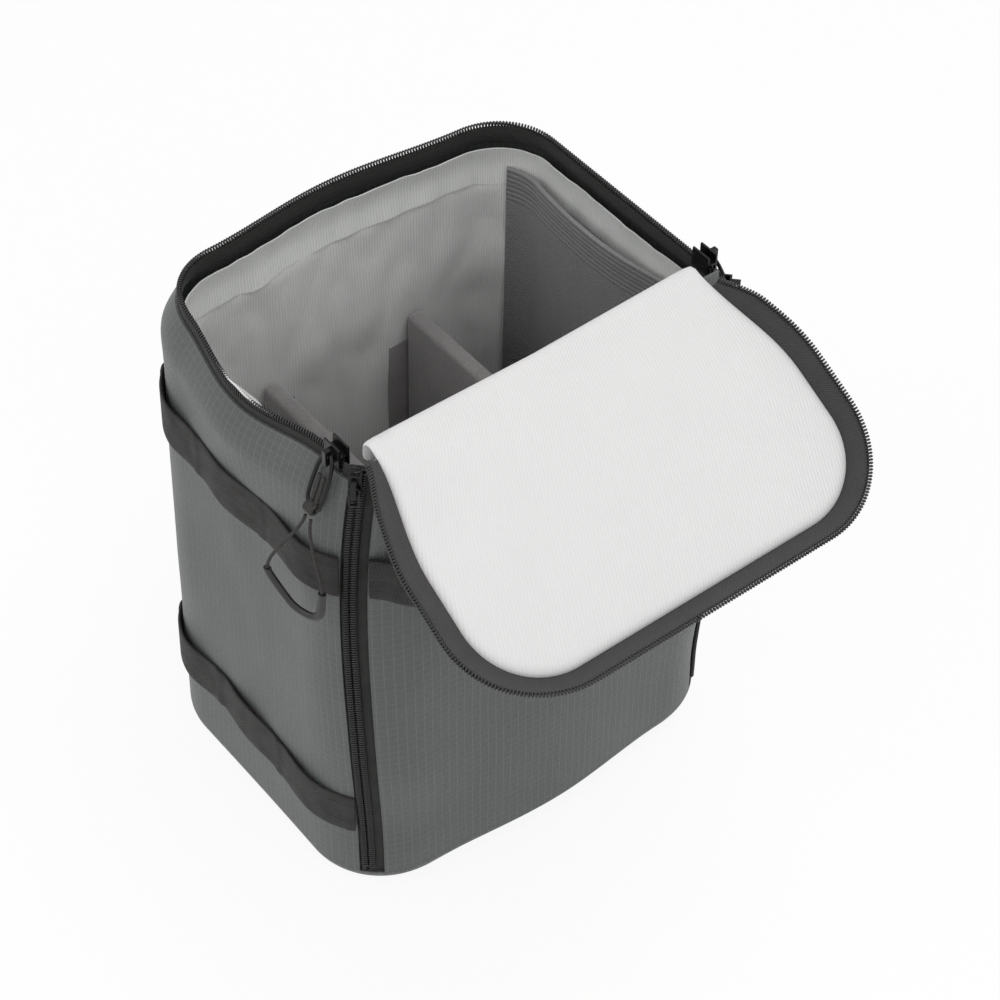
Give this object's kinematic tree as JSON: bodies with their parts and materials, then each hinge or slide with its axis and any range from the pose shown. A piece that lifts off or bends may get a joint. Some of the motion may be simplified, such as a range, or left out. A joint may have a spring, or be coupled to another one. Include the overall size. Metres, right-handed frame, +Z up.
{
  "type": "camera bag insert",
  "caption": "Upright padded camera insert with a hinged zipped lid on a fold-down zipped front panel, webbing side straps, a grab handle, dividers and corded zip pulls.",
  "frame": {"origin": "middle of the flat base, on the surface that the insert stands on", "axes": "+Z up, -Y out of the front panel, +X to the right seen from the front"},
  "size_m": [0.2706, 0.3327, 0.3077],
  "materials": {
    "shell_fabric": "matte",
    "foam": "matte",
    "wall_lining": "matte",
    "facing": "matte",
    "lid_lining": "matte",
    "zip_tape": "matte",
    "zip_coil": "satin",
    "webbing": "matte",
    "stretch_knit": "matte",
    "brushed_loop": "matte",
    "board": "matte",
    "slider_metal": "gloss",
    "cord": "matte",
    "moulded_plastic": "satin"
  },
  "bodies": {
    "shell": {"base_fabric": "shell_fabric", "base_board": "board", "base_lining": "wall_lining", "wall_fabric": "shell_fabric", "wall_foam": "foam", "wall_lining": "wall_lining", "rim_facing": "facing", "rim_tape": "zip_tape", "rim_coil": "zip_coil", "corner_tape_left": "zip_tape", "corner_tape_right": "zip_tape", "corner_coil_left": "zip_coil", "corner_coil_right": "zip_coil", "corner_stop_left": "zip_coil", "corner_stop_right": "zip_coil", "side_strap_upper_left": "webbing", "side_strap_upper_right": "webbing", "side_strap_lower_left": "webbing", "side_strap_lower_right": "webbing", "stretch_pocket": "stretch_knit", "pocket_hem": "stretch_knit", "divider_left": "brushed_loop", "divider_right": "brushed_loop", "divider_tab_left_front": "webbing", "divider_tab_left_back": "webbing", "divider_tab_right_front": "webbing", "divider_tab_right_back": "webbing"},
    "front_panel": {"panel_fabric": "shell_fabric", "panel_foam": "foam", "panel_lining": "wall_lining", "panel_tape_left": "zip_tape", "panel_tape_right": "zip_tape", "panel_coil_left": "zip_coil", "panel_coil_right": "zip_coil", "grab_handle": "webbing"},
    "lid": {"lid_fabric": "shell_fabric", "lid_foam": "foam", "lid_lining": "lid_lining", "lid_tape": "zip_tape", "lid_coil": "zip_coil"},
    "left_lid_slider": {"lid_slider_left": "slider_metal"},
    "left_lid_pull": {"lid_pull_left": "slider_metal", "cord_knot_left": "cord", "pull_cord_left_front": "cord", "pull_cord_left_back": "cord", "pull_grip_left": "moulded_plastic"},
    "left_corner_slider": {"corner_slider_left": "slider_metal"},
    "left_corner_pull": {"corner_pull_left": "slider_metal"},
    "right_lid_slider": {"lid_slider_right": "slider_metal"},
    "right_lid_pull": {"lid_pull_right": "slider_metal", "cord_knot_right": "cord", "pull_cord_right_front": "cord", "pull_cord_right_back": "cord", "pull_grip_right": "moulded_plastic"},
    "right_corner_slider": {"corner_slider_right": "slider_metal"},
    "right_corner_pull": {"corner_pull_right": "slider_metal"}
  },
  "joints": [
    {"name": "panel_fold", "type": "hinge", "parent": "shell", "child": "front_panel", "pos_m": [0, -0.091, 0.0123], "axis": [1, 0, 0], "range_deg": [0, 92]},
    {"name": "lid_fold", "type": "hinge", "parent": "front_panel", "child": "lid", "pos_m": [0, -0.083, 0.3025], "axis": [1, 0, 0], "range_deg": [-200, 25]},
    {"name": "left_lid_slide", "type": "slide", "parent": "shell", "child": "left_lid_slider", "axis": [0, 1, 0], "range_m": [0, 0.1065]},
    {"name": "left_lid_pull_swing", "type": "hinge", "parent": "left_lid_slider", "child": "left_lid_pull", "pos_m": [-0.1091, -0.06331, 0.29], "axis": [0, 1, 0], "range_deg": [0, 120]},
    {"name": "left_corner_slide", "type": "slide", "parent": "shell", "child": "left_corner_slider", "axis": [0, 0, -1], "range_m": [0, 0.261]},
    {"name": "left_corner_pull_swing", "type": "hinge", "parent": "left_corner_slider", "child": "left_corner_pull", "pos_m": [-0.10853, -0.08078, 0.2835], "axis": [-0.7071, 0.7071, 0], "range_deg": [0, 90]},
    {"name": "right_lid_slide", "type": "slide", "parent": "shell", "child": "right_lid_slider", "axis": [0, 1, 0], "range_m": [0, 0.1065]},
    {"name": "right_lid_pull_swing", "type": "hinge", "parent": "right_lid_slider", "child": "right_lid_pull", "pos_m": [0.1091, -0.06331, 0.29], "axis": [0, -1, 0], "range_deg": [0, 120]},
    {"name": "right_corner_slide", "type": "slide", "parent": "shell", "child": "right_corner_slider", "axis": [0, 0, -1], "range_m": [0, 0.261]},
    {"name": "right_corner_pull_swing", "type": "hinge", "parent": "right_corner_slider", "child": "right_corner_pull", "pos_m": [0.10853, -0.08078, 0.2835], "axis": [-0.7071, -0.7071, 0], "range_deg": [0, 90]}
  ]
}
